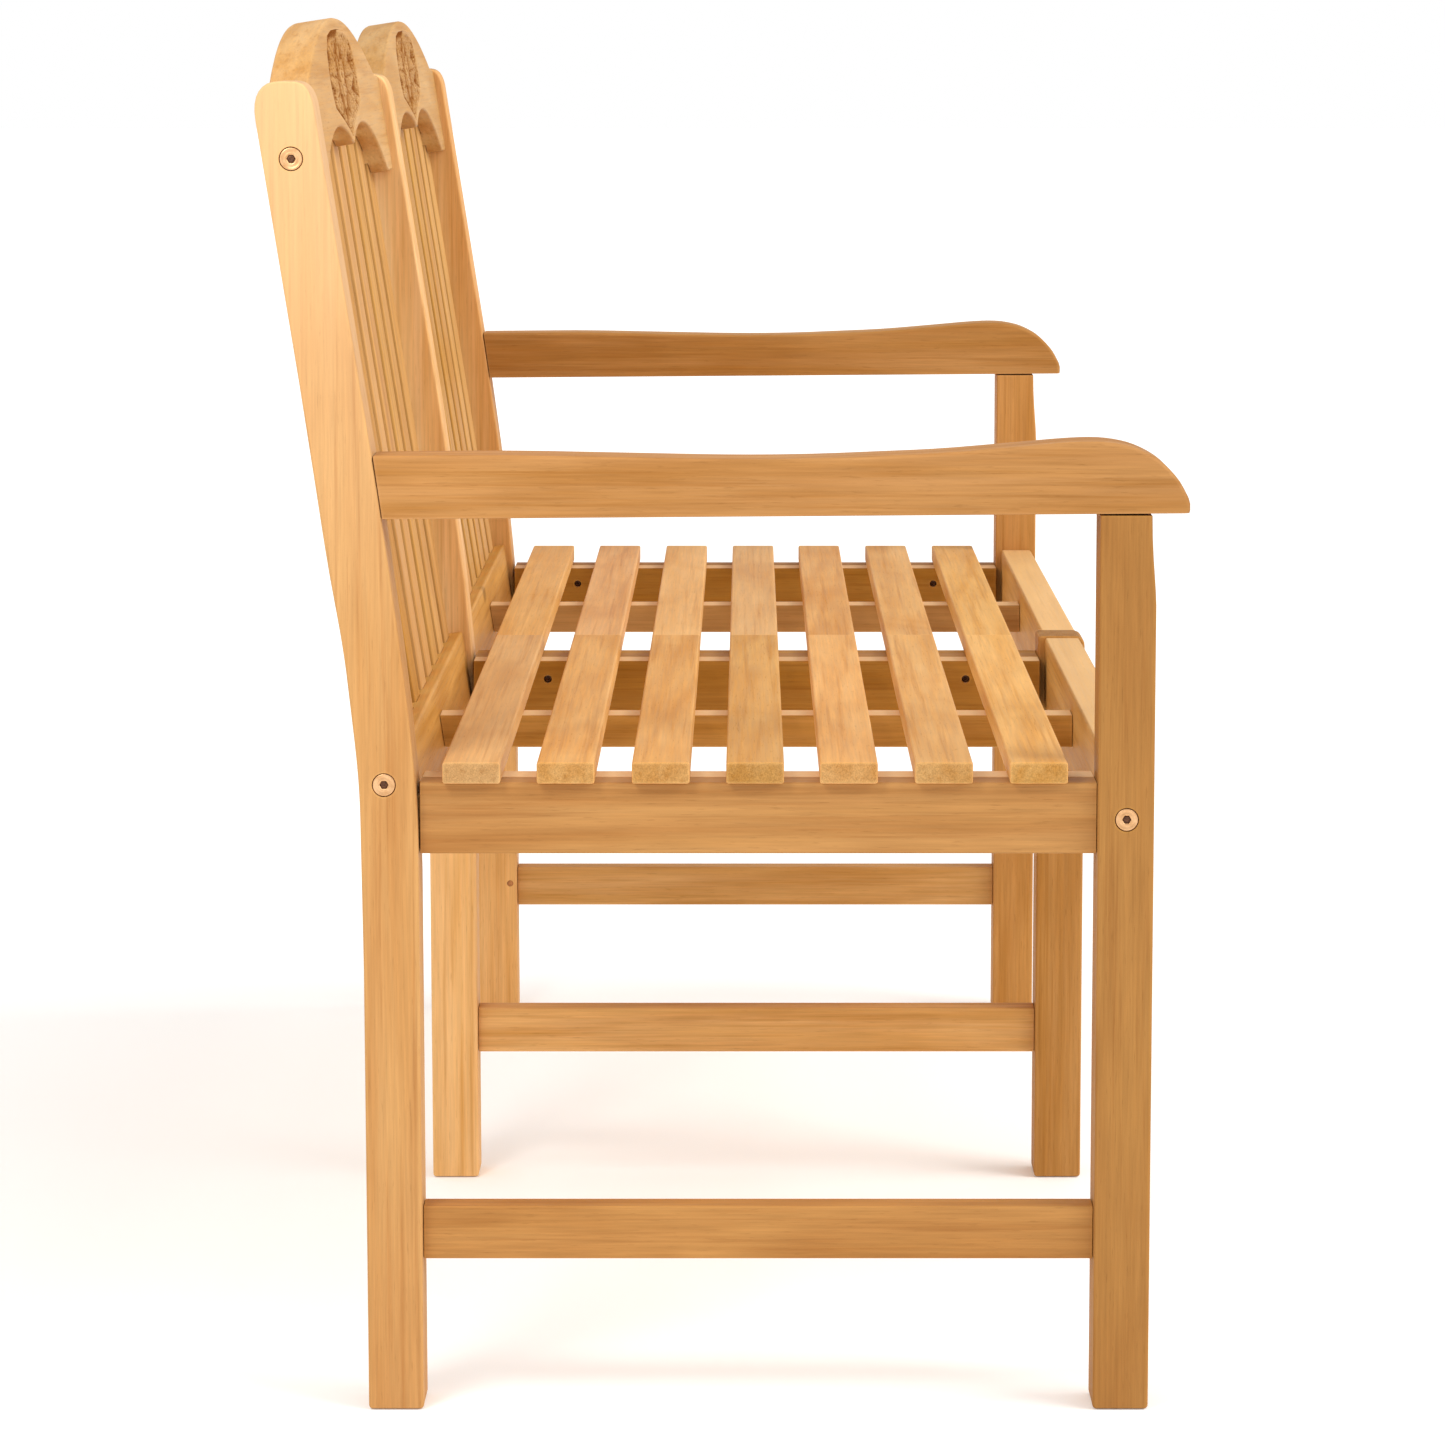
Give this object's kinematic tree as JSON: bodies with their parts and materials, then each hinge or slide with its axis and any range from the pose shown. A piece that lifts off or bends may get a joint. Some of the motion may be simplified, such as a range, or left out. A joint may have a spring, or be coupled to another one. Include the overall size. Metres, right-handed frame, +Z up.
{
  "type": "garden bench",
  "caption": "Slatted timber garden bench with arms, a middle leg frame, slatted back panels and arched crest rails with a carved leaf motif.",
  "frame": {"origin": "on the floor, at the middle of the bench's bounding box", "axes": "+X along the length of the bench, -Y the way a seated person faces, +Z up"},
  "size_m": [1.2, 0.5948, 0.8987],
  "materials": {
    "frame_timber": "satin, lightly oiled, open fine grain",
    "slat_timber": "satin, lightly oiled, open fine grain"
  },
  "bodies": {
    "root": {"rear_leg_left": "frame_timber", "front_leg_left": "frame_timber", "seat_rail_left": "frame_timber", "side_stretcher_left": "frame_timber", "rear_leg_middle": "frame_timber", "front_leg_middle": "frame_timber", "seat_rail_middle": "frame_timber", "side_stretcher_middle": "frame_timber", "rear_leg_right": "frame_timber", "front_leg_right": "frame_timber", "seat_rail_right": "frame_timber", "side_stretcher_right": "frame_timber", "armrest_left": "frame_timber", "armrest_right": "frame_timber", "front_apron_left": "frame_timber", "lower_back_rail_left": "frame_timber", "crest_rail_left": "frame_timber", "back_slat_left_1": "slat_timber", "back_slat_left_2": "slat_timber", "back_slat_left_3": "slat_timber", "back_slat_left_4": "slat_timber", "back_slat_left_5": "slat_timber", "back_slat_left_6": "slat_timber", "back_slat_left_7": "slat_timber", "back_slat_left_8": "slat_timber", "back_slat_left_9": "slat_timber", "seat_slat_left_1": "slat_timber", "seat_slat_left_2": "slat_timber", "seat_slat_left_3": "slat_timber", "seat_slat_left_4": "slat_timber", "seat_slat_left_5": "slat_timber", "seat_slat_left_6": "slat_timber", "seat_slat_left_7": "slat_timber", "seat_batten_left_mid": "frame_timber", "front_apron_right": "frame_timber", "lower_back_rail_right": "frame_timber", "crest_rail_right": "frame_timber", "back_slat_right_1": "slat_timber", "back_slat_right_2": "slat_timber", "back_slat_right_3": "slat_timber", "back_slat_right_4": "slat_timber", "back_slat_right_5": "slat_timber", "back_slat_right_6": "slat_timber", "back_slat_right_7": "slat_timber", "back_slat_right_8": "slat_timber", "back_slat_right_9": "slat_timber", "seat_slat_right_1": "slat_timber", "seat_slat_right_2": "slat_timber", "seat_slat_right_3": "slat_timber", "seat_slat_right_4": "slat_timber", "seat_slat_right_5": "slat_timber", "seat_slat_right_6": "slat_timber", "seat_slat_right_7": "slat_timber", "seat_batten_right_mid": "frame_timber", "seat_batten_left_outer": "frame_timber", "seat_batten_left_inner": "frame_timber", "seat_batten_right_outer": "frame_timber"}
  },
  "joints": []
}
